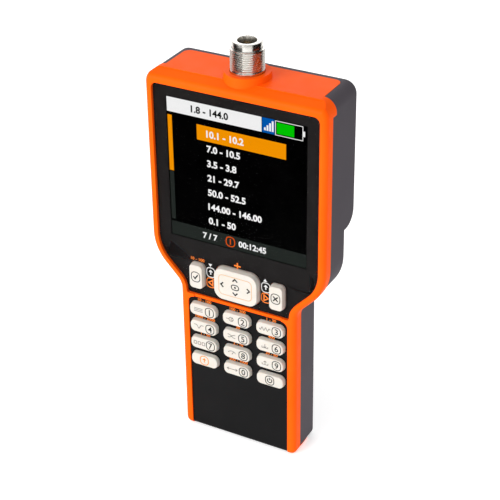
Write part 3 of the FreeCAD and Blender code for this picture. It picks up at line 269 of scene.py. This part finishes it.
def piece(name, parts, material, body, smooth=False):
    """Join closed parts to one mesh, merge doubles, point its faces outwards and hang it on a body."""
    starts = np.cumsum([0] + [len(points) for points, faces in parts])
    faces = sum([(faces + start).tolist() for (points, faces), start in zip(parts, starts)], [])
    mesh = bpy.data.meshes.new(name)
    mesh.from_pydata(np.concatenate([points for points, part in parts]).tolist(), [], faces)
    built = bmesh.new()
    built.from_mesh(mesh)
    bmesh.ops.remove_doubles(built, verts=built.verts, dist=1e-7)
    bmesh.ops.dissolve_degenerate(built, edges=built.edges, dist=1e-8)
    bmesh.ops.recalc_face_normals(built, faces=built.faces)
    built.to_mesh(mesh)
    built.free()
    if smooth:
        mesh.shade_smooth()
        mesh.set_sharp_from_angle(angle=math.radians(35))
    mesh.materials.append(material)
    made = bpy.data.objects.new(name, mesh)
    bpy.context.scene.collection.objects.link(made)
    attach(made, body)
    return made


def face_of(node):
    """Middle and front level of a piece's face, in millimetres."""
    low, high = (np.array(corner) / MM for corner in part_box(node))
    return (low + high)[[0, 2]] / 2, low[1]


def ink_and_painted_shade(name, colour):
    """A cured ink, thin and dull, a little uneven where it took more or less of the pad; the same finish also
    serves one painted shade line.
    """
    material, tree, shader = finish(name, colour, 0.5, Specular_IOR_Level=0.3)
    polish(tree, shader, 0.42, 0.6, 0.8)
    grain(tree, shader, 0.2, 0.002)
    return material


# Ink sinks a little into its face. Where strokes cross, the later one is lower, so that no faces coincide
SINK, INK, CROSS_STEP = 0.02, 0.03, 0.005
# Black key ink reads as a warm near black on the cream, and the grey ink as a faint brown grey
black_ink = ink_and_painted_shade("black_key_ink", "1C1A19")
grey_ink = ink_and_painted_shade("grey_key_ink", "6E6762")
# Orange ink is duller than the casing. The pale tan is not ink but painted shade along the edge of the cursor
# pad's shallow dish, and it only just shows on the cream
orange_ink = ink_and_painted_shade("orange_key_ink", "F47C22")
dish_edge_shade = ink_and_painted_shade("pale_orange_key_ink", "C99E78")
white_ink = ink_and_painted_shade("white_panel_ink", "D8D8D8")

RING_SIZE, RING_ROUND, RING_STROKE, RING_SHIFT = (4.6, 5.0), 1.9, 0.42, 3.75
FIGURE_HEIGHT, SIGN_STROKE, SIGN_SHIFT = 3.3, 0.34, -2.5
ARROW_SHAFT = [(0, -1.0), (0, 0.62)]
ARROW_HEAD = [(-0.75, 0.25), (0, 1.0), (0.75, 0.25)]
TRAY = [(-1.6, -0.2), (-1.6, -1.1), (1.6, -1.1), (1.6, -0.2)]
along = np.linspace(-1, 1, 25)


def turned_down(path):
    """The same path upside down."""
    return np.array(path) * (1, -1)


# A sign for each wide key, as paths in millimetres: whether each closes, then its points
SIGNS = {
    "key_1": [(False, [(-2.4, level), (2.4, level)]) for level in (-0.85, 0, 0.85)],
    "key_2": [(True, ring(1.15)), (True, ring(0.6, (0.55, 0))), (False, [(-1.15, 0), (-2.9, 0)])],
    "key_3": [(False, np.stack([2.9 * along, 0.85 * np.sin(3 * math.pi * along)], -1))],
    "key_4": [(False, np.stack([2.6 * along, 0.95 - 1.9 * np.exp(-(along / 0.28) ** 2)], -1))],
    "key_5": [(False, np.stack([2.1 * along, side * 0.85 * np.tanh(2.5 * along)], -1)) for side in (-1, 1)],
    "key_6": [(False, turned_down(ARROW_SHAFT)), (False, turned_down(ARROW_HEAD)), (False, TRAY)],
    "key_7": [(True, rounded(1.5, 1.7, 0.3, (step, 0), 3)) for step in (-2.3, 0, 2.3)],
    "key_8": [(False, ring(2.5, (0, -1.5), (35, 145))), (False, [(0, -0.9), (0.9, 0.5)])],
    "key_9": [(False, ARROW_SHAFT), (False, ARROW_HEAD), (False, TRAY)],
    "key_0": [(False, [(-2.6, 0), (2.6, 0)])] + [
        (False, [(side * 1.9, 0.75), (side * 2.8, 0), (side * 1.9, -0.75)]) for side in (-1, 1)],
}
for key, sign in SIGNS.items():
    middle, level = face_of(key)
    centre = middle + (RING_SHIFT, 0)
    edge = rounded(*RING_SIZE, RING_ROUND, centre)
    piece(f"legend_{key}", [stroke(edge, RING_STROKE, level, INK, True),
                            figures(key[-1], FIGURE_HEIGHT, centre, level, INK)], black_ink, key)
    paths = [stroke(middle + (SIGN_SHIFT, 0) + np.array(path), SIGN_STROKE, level, INK - CROSS_STEP * k,
                    closed)
             for k, (closed, path) in enumerate(sign)]
    piece(f"sign_{key}", paths, grey_ink, key)

# Lower corner keys: an orange arrow calls the second use, and a broken ring with a bar is the power sign
SMALL_STROKE, SMALL_ARROW = 0.5, 1.1
middle, level = face_of("key_function")
edge = rounded(*RING_SIZE, RING_ROUND, middle)
piece("legend_key_function", [stroke(edge, RING_STROKE, level, INK, True),
                              stroke(middle + np.array(ARROW_SHAFT) * SMALL_ARROW, SMALL_STROKE, level, INK),
                              stroke(middle + np.array(ARROW_HEAD) * SMALL_ARROW, SMALL_STROKE, level, INK)],
      orange_ink, "key_function")
middle, level = face_of("key_power")
edge = rounded(*RING_SIZE, RING_ROUND, middle)
piece("legend_key_power", [stroke(edge, RING_STROKE, level, INK, True),
                           stroke(ring(1.2, middle, (125, 415)), SMALL_STROKE, level, INK),
                           stroke([middle + (0, 0.1), middle + (0, 1.6)], SMALL_STROKE, level, INK)],
      black_ink, "key_power")

# Tall keys: a ringed check and a ringed cross
TALL_RING, MARK_STROKE = (4.7, 5.4), 0.7
CHECK = np.array([(-1.25, 0.1), (-0.35, -1.0), (1.25, 1.35)])
middle, level = face_of("key_check")
edge = rounded(*TALL_RING, RING_ROUND, middle)
piece("legend_key_check", [stroke(edge, RING_STROKE, level, INK, True),
                           stroke(middle + CHECK, MARK_STROKE, level, INK)],
      black_ink, "key_check")
middle, level = face_of("key_cross")
arms = [stroke(middle + np.array([(-1.25, -1.25 * side), (1.25, 1.25 * side)]), MARK_STROKE, level,
               INK - CROSS_STEP * (side < 0))
        for side in (1, -1)]
edge = rounded(*TALL_RING, RING_ROUND, middle)
piece("legend_key_cross", [stroke(edge, RING_STROKE, level, INK, True), *arms],
      black_ink, "key_cross")

# Cursor pad: four chevrons, a ringed dot in the middle, and round them a faint tan line that is painted shade
# along the edge of the pad's shallow dish
CHEVRON = np.array([(-1.3, -0.7), (0, 0.7), (1.3, -0.7)])
CHEVRON_REACH = {0: 3.9, 90: 7.1, 180: 3.6, 270: 7.1}
middle, level = face_of("nav_pad")
marks = []
for turn, reach in CHEVRON_REACH.items():
    angle = math.radians(turn)
    spin = np.array([(math.cos(angle), math.sin(angle)), (-math.sin(angle), math.cos(angle))])
    marks.append(stroke(middle + (CHEVRON + (0, reach)) @ spin, MARK_STROKE, level, INK))
marks.append(stroke(rounded(4.0, 2.7, 1.3, middle), SMALL_STROKE, level, INK, True))
marks.append(plate(ring(0.55, middle), level, INK))
piece("legend_nav_pad", marks, black_ink, "nav_pad")
# Painted shade: a thin tan stroke round the pad where the edge of its dish falls dark
piece("painted_shade_nav_pad_dish_edge", [stroke(rounded(17.8, 10.8, 2.2, middle), 0.36, level, INK, True)],
      dish_edge_shade, "nav_pad")

# Panel print: an orange range of plain figures over each wide key that has a second use.
# It is screen printed on the black panel before the keys go in.
RANGES = {"key_1": "10 - 100", "key_2": "100 - 200", "key_3": "1 - 30", "key_4": "1000 - 2000",
          "key_5": "30", "key_6": "400", "key_7": "1 - 50", "key_8": "2 - 10", "key_9": "20 - 60",
          "key_0": "500 - 1000"}
RANGE_HEIGHT, RANGE_RISE = 1.7, 4.6
panel_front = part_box("keypad_panel")[0][1] / MM
ranges = [figures(text, RANGE_HEIGHT, face_of(key)[0] + (0, RANGE_RISE), panel_front, INK)
          for key, text in RANGES.items()]
piece("panel_ranges", ranges, orange_ink, "root")

# Window print, on the back of the acrylic: a plus, arrow heads and ringed arrows round the cursor pad.
# It is screen printed before the black ink, so it shows through the clear sheet.
BACK_INK = 0.05
POINTER_HALF, POINTER_LOW, POINTER_HIGH = 1.0, 5.9, 7.5
LEFT_POINTER, RIGHT_POINTER = -15.1, 14.7
SIDE_REACH, SIDE_RISE, SIDE_DROP = 15.0, 2.7, 3.1
window_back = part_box("display_window")[1][1] / MM
across, up = face_of("nav_pad")[0]
low, high = up + POINTER_LOW, up + POINTER_HIGH
x = across + LEFT_POINTER
whites = [plate([(x - POINTER_HALF, high), (x, low), (x + POINTER_HALF, high)], window_back, BACK_INK)]
x = across + RIGHT_POINTER
whites.append(plate([(x - POINTER_HALF, low), (x + POINTER_HALF, low), (x, high)], window_back, BACK_INK))
PLUS_BAR, PLUS_POST = [(-2.0, 10.35), (1.6, 10.35)], [(-0.2, 8.6), (-0.2, 12.1)]
pad = np.array([across, up])
oranges = [stroke(pad + PLUS_BAR, MARK_STROKE, window_back, BACK_INK),
           stroke(pad + PLUS_POST, MARK_STROKE, window_back, BACK_INK - 2 * CROSS_STEP),
           figures("10 - 100", RANGE_HEIGHT, (across - 22.1, up + 8.2), window_back, BACK_INK)]
for side in (-1, 1):
    upper, lower = (across + side * SIDE_REACH, up + SIDE_RISE), (across + side * SIDE_REACH, up - SIDE_DROP)
    whites.append(stroke(rounded(4.5, 5.2, 1.7, upper), RING_STROKE, window_back, BACK_INK, True))
    whites += [stroke(np.array(path) * 1.15 + upper, 0.55, window_back, BACK_INK)
               for path in (ARROW_SHAFT, ARROW_HEAD)]
    oranges.append(stroke(rounded(4.7, 5.2, 1.7, lower), RING_STROKE, window_back, BACK_INK, True))
    arrow = np.array([(side * 1.3, 0.0), (-side * 1.0, 1.55), (-side * 1.0, -1.55)]) + lower
    oranges.append(stroke(arrow, 0.6, window_back, BACK_INK, True))
piece("window_marks_white", whites, white_ink, "root")
piece("window_marks_orange", oranges, orange_ink, "root")


# Lit picture: a made-up list of plain figures, with a title bar, a battery level and a bottom line.
# The display draws it as light, so each colour is one thin piece a hair in front of the glass.
def lit(name, colour, strength=1.0):
    """Light from a grid of picture points, with a thin darker line between neighbours."""
    material, tree, shader = finish(name, "000000", 0.5, Emission_Strength=strength, Specular_IOR_Level=0.0)
    place = add(tree, "SeparateXYZ", (), {0: add(tree, "TexCoord").outputs["Object"]})
    lines = []
    for way in ("X", "Z"):
        count = add(tree, "Math", {"operation": "DIVIDE", 1: POINT_PITCH * MM}, {0: place.outputs[way]})
        within = add(tree, "Math", {"operation": "FRACT"}, {0: count.outputs[0]})
        lines.append(add(tree, "Math", {"operation": "LESS_THAN", 1: POINT_LINE}, {0: within.outputs[0]}))
    either = add(tree, "Math", {"operation": "MAXIMUM"}, {0: lines[0].outputs[0], 1: lines[1].outputs[0]})
    shade = (*(0.85 * part for part in linear(colour)[:3]), 1.0)
    mix = add(tree, "Mix", {"data_type": "RGBA", 6: linear(colour), 7: shade}, {0: either.outputs[0]})
    tree.links.new(mix.outputs[2], shader.inputs["Emission Color"])
    return material


POINT_PITCH, POINT_LINE = 0.225, 0.16
SCREEN_EDGE = 1.4
glass_low, glass_high = (np.array(corner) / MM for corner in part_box("display_glass"))
left, right = glass_low[0] + SCREEN_EDGE, glass_high[0] - SCREEN_EDGE
foot = glass_low[2] + SCREEN_EDGE
screen = glass_low[1]
UNDER, OVER = 0.05, 0.09
LIT_WEIGHT = 0.032


def block(x0, x1, z0, z1, proud=UNDER, radius=0.02):
    """A lit rectangle between two sides and two levels, measured from the picture's lower left."""
    middle = (left + (x0 + x1) / 2, foot + (z0 + z1) / 2)
    return plate(rounded(x1 - x0, z1 - z0, radius, middle), screen, proud)


def line(text, x, z, height=3.6):
    """A line of lit figures that starts at x with its middle at z, from the picture's lower left."""
    return figures(text, height, (left + x, foot + z), screen, OVER, 0, LIT_WEIGHT)


LIST = ["10.1 - 10.2", "7.0 - 10.5", "3.5 - 3.8", "21 - 29.7", "50.0 - 52.5", "144.00 - 146.00",
        "0.1 - 50"]
LIST_START, LIST_TOP, LIST_STEP = 20.6, 57.4, 7.53
wide = right - left
battery = rounded(13.6, 6.9, 0.1, (left + 63.1, foot + 68.3))
rows = [line(text, LIST_START, LIST_TOP - LIST_STEP * k) for k, text in enumerate(LIST)]
signal = [block(50.6 + 1.3 * k, 51.5 + 1.3 * k, 66.0, 67.4 + 1.25 * k, OVER) for k in range(4)]
piece("picture_white", [block(0, 49.3, 64.8, 72.1), *rows, *signal, line("7 / 7", 17.2, 3.6, 3.3),
                        line("00:12:45", 36.5, 3.6, 3.3), stroke(battery, 0.3, screen, UNDER, True),
                        block(70.1, 71.0, 66.9, 69.5)],
      lit("picture_light_white", "FFFFFF"), "root")
piece("picture_black", [line("1.8 - 144.0", 12.8, 68.4)], lit("picture_light_none", "101010", 0.3), "root")
piece("picture_orange", [block(0.15, 2.4, 34.4, 63.1), block(15.6, 61.6, 53.6, 61.3)],
      lit("picture_light_orange", "FF9B00"), "root")
piece("picture_blue", [block(49.7, 55.8, 64.8, 72.1)], lit("picture_light_blue", "005AB4"), "root")
piece("picture_green", [block(57.0, 65.6, 65.6, 71.0)], lit("picture_light_green", "00CD00"), "root")
piece("picture_dark", [block(0, wide, 0, 7.2), block(0.15, 2.4, 8.4, 34.0)],
      lit("picture_light_dark", "262B28"), "root")
piece("picture_ring", [stroke(rounded(4.6, 5.0, 1.9, (left + 32.1, foot + 3.6)), 0.45, screen, OVER, True),
                       figures("1", 3.0, (left + 32.1, foot + 3.6), screen, OVER)],
      lit("picture_light_deep_orange", "F25A00"), "root")

# Coaxial socket: a threaded barrel that a plug screws down on, with a square flange under the top deck.
# It is brass, turned on a lathe, milled square at the flange, and plated with bright nickel.
THREAD_RADIUS, THREAD_DEPTH, THREAD_PITCH, THREAD_LENGTH = 7.94, 0.62, 25.4 / 24, 10.5
NOSE_RADIUS, NOSE_LENGTH, NOSE_EDGE = 7.0, 3.3, 0.35
SLEEVE_RADIUS, MOUTH_RADIUS, MOUTH_DEPTH, MOUTH_EDGE = 4.05, 4.45, 4.2, 0.35
STUB_RADIUS, STUB_LENGTH, FLANGE_THICK = 5.4, 2.0, 2.0
AROUND, PER_TURN = 96, 14
port_low, port_high = (np.array(corner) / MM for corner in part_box("port_body"))
port_axis = (port_low + port_high)[:2] / 2
flange_half = (port_high[0] - port_low[0]) / 2
top, bottom = port_high[2], port_low[2]
flange_top = bottom + STUB_LENGTH + FLANGE_THICK
thread_top = top - NOSE_LENGTH
thread_foot = thread_top - THREAD_LENGTH


def turned(profile, square=()):
    """Rings of points: each profile point (radius, height) swept round; square rings follow a square."""
    angle = np.linspace(0, 2 * math.pi, AROUND, endpoint=False)
    radius = np.array([r for r, z in profile])[:, None] * np.ones(AROUND)
    level = np.array([z for r, z in profile])[:, None] * np.ones(AROUND)
    corner = np.minimum(1 / np.maximum(abs(np.cos(angle)), abs(np.sin(angle))), 1.36)
    radius[list(square)] *= corner
    return radius, level, angle


start = [(SLEEVE_RADIUS, bottom), (STUB_RADIUS, bottom), (STUB_RADIUS, bottom + STUB_LENGTH),
         (flange_half, bottom + STUB_LENGTH), (flange_half, flange_top),
         (THREAD_RADIUS, flange_top), (THREAD_RADIUS, thread_foot)]
climb = np.linspace(0, THREAD_LENGTH, int(THREAD_LENGTH / THREAD_PITCH * PER_TURN))[1:-1]
thread = [(THREAD_RADIUS, thread_foot + step) for step in climb]
nose = [(NOSE_RADIUS + 0.25, thread_top), (NOSE_RADIUS, thread_top + 0.25),
        (NOSE_RADIUS, top - NOSE_EDGE), (NOSE_RADIUS - 0.1, top - 0.12), (NOSE_RADIUS - NOSE_EDGE, top),
        (MOUTH_RADIUS + MOUTH_EDGE, top), (MOUTH_RADIUS + 0.08, top - 0.12),
        (MOUTH_RADIUS, top - MOUTH_EDGE), (MOUTH_RADIUS, top - MOUTH_DEPTH), (SLEEVE_RADIUS, top - MOUTH_DEPTH)]
radius, level, angle = turned(start + thread + nose, square=(3, 4))
inside = slice(len(start), len(start) + len(thread))
# The groove is a wave of the height less the turn, cut off flat at the crests and faded at both ends
wave = np.cos(2 * math.pi * level[inside] / THREAD_PITCH - angle)
fade = np.clip(np.minimum(climb, THREAD_LENGTH - climb) / THREAD_PITCH, 0, 1)[:, None]
radius[inside] -= THREAD_DEPTH * fade * np.clip(0.5 - 0.62 * wave, 0, 1)
barrel = np.stack([port_axis[0] + radius * np.cos(angle), port_axis[1] + radius * np.sin(angle), level], -1)
# Bright nickel mirrors what stands round it, with hair lines where the tool went round
nickel, tree, shader = finish("bright_nickel_plate", "D9D6D0", 0.22, Metallic=1.0)
polish(tree, shader, 0.18, 0.26, 0.5, (8, 8, 1))
grain(tree, shader, 0.6, 0.003)
barrel_piece = piece("port_barrel", [cells(barrel * MM, closed_rows=True)], nickel, "root",
                     smooth=True)
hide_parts("port_body")
# The insulator is white PTFE with dull rings from the lathe, and the contact is plated with soft gold
ptfe, tree, shader = finish("white_ptfe_turned", "F2F1EE", 0.45)
mottle(tree, shader, "ECEBE7", "F6F5F3", 2)
grain(tree, shader, 0.3, 0.01)
dress(ptfe, "port_insulator")
gold, tree, shader = finish("gold_plate_bright", "D8AA55", 0.2, Metallic=1.0)
mottle(tree, shader, "CF9F48", "E0B462", 1.5)
polish(tree, shader, 0.14, 0.28, 0.8)
dress(gold, "port_contact", "port_lead")

# Key mat and socket gasket: a grey silicone sheet that seals the keys, and a thin ring under the deck.
# Both are moulded soft and dull, and are only pressed in place.
silicone, tree, shader = finish("grey_silicone_moulded", "B8B7B2", 0.6)
mottle(tree, shader, "AFAEA9", "BFBEBA", 8)
grain(tree, shader, 0.6, 0.01)
dress(silicone, "keypad_mat", "port_gasket")

# Main board: laminate with a green solder mask, drilled and cut to the casing's shape.
# It is held by the case screws and carries everything below.
# The mask is glossy, and copper tracks under it show as paler lines, here 2 mm apart
TRACK_SPACING, TRACK_WIDTH = 2.0, 0.3
solder_mask, tree, shader = finish("green_solder_mask", "14532A", 0.3)
place = add(tree, "TexCoord").outputs["Object"]
stood = add(tree, "Mapping", {"Rotation": (math.pi / 2, 0, 0)}, {"Vector": place})
brick = {"Color1": linear("114A25"), "Color2": linear("165A2D"), "Mortar": linear("2C7A44"), "Scale": 1.0,
         "Mortar Size": TRACK_WIDTH / 2 * MM, "Brick Width": 6 * TRACK_SPACING * MM,
         "Row Height": TRACK_SPACING * MM}
tracks = add(tree, "TexBrick", brick, {"Vector": stood.outputs[0]})
tree.links.new(tracks.outputs["Color"], shader.inputs["Base Color"])
dress(solder_mask, "main_board")
# Chips, the buzzer and the battery tray are black, dull and faintly grainy
epoxy, tree, shader = finish("black_epoxy_moulded", "141416", 0.5)
mottle(tree, shader, "111113", "19191B", 4)
grain(tree, shader, 0.4, 0.01)
dress(epoxy, "board_chips", "buzzer", "battery_tray")
# Shields and sockets are folded from tin plate, bright but clouded by handling
tin, tree, shader = finish("bright_tin_plate", "C8C8C4", 0.25, Metallic=1.0)
mottle(tree, shader, "BEBEBA", "D0D0CC", 3)
polish(tree, shader, 0.2, 0.4, 5)
dress(tin, "radio_shield", "wireless_module", "data_socket")
# Screws, gimbal, domes and contacts are steel with a pale zinc plate, duller than the nickel
zinc, tree, shader = finish("zinc_plated_steel", "B9BABC", 0.3, Metallic=1.0)
mottle(tree, shader, "AEB0B4", "C4C3BF", 1.5)
polish(tree, shader, 0.24, 0.38, 1)
dress(zinc, "nav_gimbal", "snap_domes", "case_screws", "port_screws", "contact_plates", "battery_pins")

# Battery cells: three round cells side by side behind the display, each in a shrunk plastic sleeve.
# The sleeve is glossy blue with a silver band at the button end, and bare metal shows past it.
cell_low, cell_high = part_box("battery_cell_1")
sleeve, tree, shader = finish("blue_cell_sleeve", "24549A", 0.25)
place = add(tree, "SeparateXYZ", (), {0: add(tree, "TexCoord").outputs["Object"]})
height = add(tree, "MapRange", {"From Min": cell_low[2], "From Max": cell_high[2]},
             {"Value": place.outputs["Z"]})
bands = add(tree, "ValToRGB", (), {0: height.outputs[0]})
bands.color_ramp.interpolation = "CONSTANT"
bands.color_ramp.elements[0].color = linear("24549A")
bands.color_ramp.elements[1].position = 0.74
bands.color_ramp.elements[1].color = linear("B9BEC4")
bands.color_ramp.elements.new(0.9).color = linear("1B3F78")
tree.links.new(bands.outputs["Color"], shader.inputs["Base Color"])
polish(tree, shader, 0.18, 0.3, 4)
CELLS = ["battery_cell_1", "battery_cell_2", "battery_cell_3"]
dress(sleeve, *CELLS)

# Contact springs: a cone of wire under each cell, wide on the tray and narrow at the cell.
# They are wound from plated spring steel and pressed onto the contact plates.
WIRE, COILS, COIL_STEPS, WIRE_SIDES = 0.25, 3, 96, 10
FOOT_RADIUS, TIP_RADIUS = 3.7, 2.3
spring_low, spring_high = (np.array(corner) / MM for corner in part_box("contact_springs"))


def cone_coil(axis):
    """Wire round a cone: its middle winds up from foot to tip, and a circle is carried along it."""
    share = np.linspace(0, 1, COIL_STEPS)[:, None]
    turn = 2 * math.pi * COILS * share
    side = np.linspace(0, 2 * math.pi, WIRE_SIDES, endpoint=False)[None, :]
    girth = np.concatenate([[0], np.full(COIL_STEPS, WIRE), [0]])[:, None]
    share, turn = (np.concatenate([part[:1], part, part[-1:]]) for part in (share, turn))
    radius = FOOT_RADIUS + (TIP_RADIUS - FOOT_RADIUS) * share + girth * np.cos(side)
    level = spring_low[2] + WIRE + (spring_high[2] - spring_low[2] - 2 * WIRE) * share + girth * np.sin(side)
    wound = np.stack([axis[0] + radius * np.cos(turn), axis[1] + radius * np.sin(turn), level], -1)
    return cells(wound * MM)


axes = [(np.array(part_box(cell)[0]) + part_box(cell)[1])[:2] / 2 / MM for cell in CELLS]
springs = piece("spring_coils", [cone_coil(axis) for axis in axes], zinc, "root", smooth=True)
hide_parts("contact_springs")

# Rear shell and battery cover: the grey half of the casing, and the lid that slides down off its back.
# Both are the same ABS in charcoal grey, moulded with a slightly rougher, more matt texture.
# The eye sees a flat warm grey whose edges only just catch the light
charcoal_abs, tree, shader = finish("charcoal_abs_matt_moulded", "4E494F", 0.6, Specular_IOR_Level=0.12)
mottle(tree, shader, "4C474D", "504B51", 30)
# This texture is about 0.08 mm on the real casing, and is drawn at 0.4 mm so that it shows
grain(tree, shader, 0.4, 0.012)
dress(charcoal_abs, "rear_shell", "battery_cover")

# Studio: a pale paper floor, an even sky, two soft boxes and two black cards that only mirrors see.
# The cards stand to the left and right of the object and draw dark bands down the bright metal.
FLOOR_REACH, SKY = 6.0, 0.75
floor_mesh = bpy.data.meshes.new("floor")
floor_mesh.from_pydata([(-FLOOR_REACH, -FLOOR_REACH, 0), (FLOOR_REACH, -FLOOR_REACH, 0),
                        (FLOOR_REACH, FLOOR_REACH, 0), (-FLOOR_REACH, FLOOR_REACH, 0)], [], [(0, 1, 2, 3)])
floor = bpy.data.objects.new("floor", floor_mesh)
bpy.context.scene.collection.objects.link(floor)
paper, tree, shader = finish("white_studio_paper", "F4F4F4", 0.9, Emission_Strength=0.4)
shader.inputs["Emission Color"].default_value = linear("FFFFFF")
floor_mesh.materials.append(paper)
studio = bpy.data.worlds.new("studio")
bpy.context.scene.world = studio
studio.use_nodes = True
studio.node_tree.nodes["Background"].inputs["Color"].default_value = linear("FFFFFF")
studio.node_tree.nodes["Background"].inputs["Strength"].default_value = SKY


def soft_box(name, place, size, power):
    """A square soft light that faces the object's middle."""
    light = bpy.data.lights.new(name, "AREA")
    light.energy = power
    light.size = size
    lamp = bpy.data.objects.new(name, light)
    bpy.context.scene.collection.objects.link(lamp)
    lamp.location = place
    away = np.array(place) - LIT_MIDDLE
    tilt = math.acos(away[2] / np.linalg.norm(away))
    lamp.rotation_euler = (tilt, 0, math.atan2(away[1], away[0]) + math.pi / 2)


def black_card(name, first, last):
    """A wall on an arc round the object between two compass angles; only reflections see it."""
    turn = np.radians(np.linspace(first, last, CARD_STEPS))
    arc = CARD_REACH * np.stack([np.cos(turn), np.sin(turn)], -1)
    wall = np.concatenate([np.c_[arc, np.zeros(CARD_STEPS)], np.c_[arc, np.full(CARD_STEPS, CARD_HEIGHT)]])
    low = np.arange(CARD_STEPS - 1)
    corners = [low, low + 1, low + 1 + CARD_STEPS, low + CARD_STEPS]
    mesh = bpy.data.meshes.new(name)
    mesh.from_pydata(wall.tolist(), [], np.stack(corners, -1).tolist())
    mesh.materials.append(black_paper)
    card = bpy.data.objects.new(name, mesh)
    bpy.context.scene.collection.objects.link(card)
    card.visible_camera = card.visible_diffuse = card.visible_shadow = card.visible_transmission = False


LIT_MIDDLE = np.array([0, 0, 0.1])
CARD_REACH, CARD_HEIGHT, CARD_STEPS = 0.25, 0.6, 12
black_paper = finish("black_card_paper", "060606", 0.9, Specular_IOR_Level=0.1)[0]
soft_box("front_light", (-0.5, -1.2, 0.6), 0.9, 16)
soft_box("back_light", (-0.8, 1.4, 0.9), 0.9, 4)
black_card("card_left", -179, -95)
black_card("card_right", -26, 60)
bpy.context.scene.view_settings.view_transform = "Standard"

# The view was solved from the photograph's edges: its turn, height and roll in degrees, and its range
CAMERA_TURN, CAMERA_HEIGHT, CAMERA_ROLL = 29.01, 30.35, -0.80
CAMERA_RANGE = 0.6833
CAMERA_AIM = np.array([0.0073, -0.01505, 0.1125])
FOCAL_SHARE = 1461 / 500
turn, height, roll = (math.radians(part) for part in (CAMERA_TURN, CAMERA_HEIGHT, CAMERA_ROLL))
back = np.array([math.sin(turn) * math.cos(height), -math.cos(turn) * math.cos(height),
                 math.sin(height)])
flat_right = np.array([math.cos(turn), math.sin(turn), 0])
rise = np.cross(back, flat_right)
lens = bpy.data.cameras.new("camera")
lens.sensor_width = 36.0
lens.lens = lens.sensor_width * FOCAL_SHARE
camera = bpy.data.objects.new("camera", lens)
bpy.context.scene.collection.objects.link(camera)
placed = np.eye(4)
placed[:3, 0] = math.cos(roll) * flat_right + math.sin(roll) * rise
placed[:3, 1] = math.cos(roll) * rise - math.sin(roll) * flat_right
placed[:3, 2] = back
placed[:3, 3] = CAMERA_AIM + CAMERA_RANGE * back
camera.matrix_world = Matrix(placed.tolist())
bpy.context.scene.camera = camera
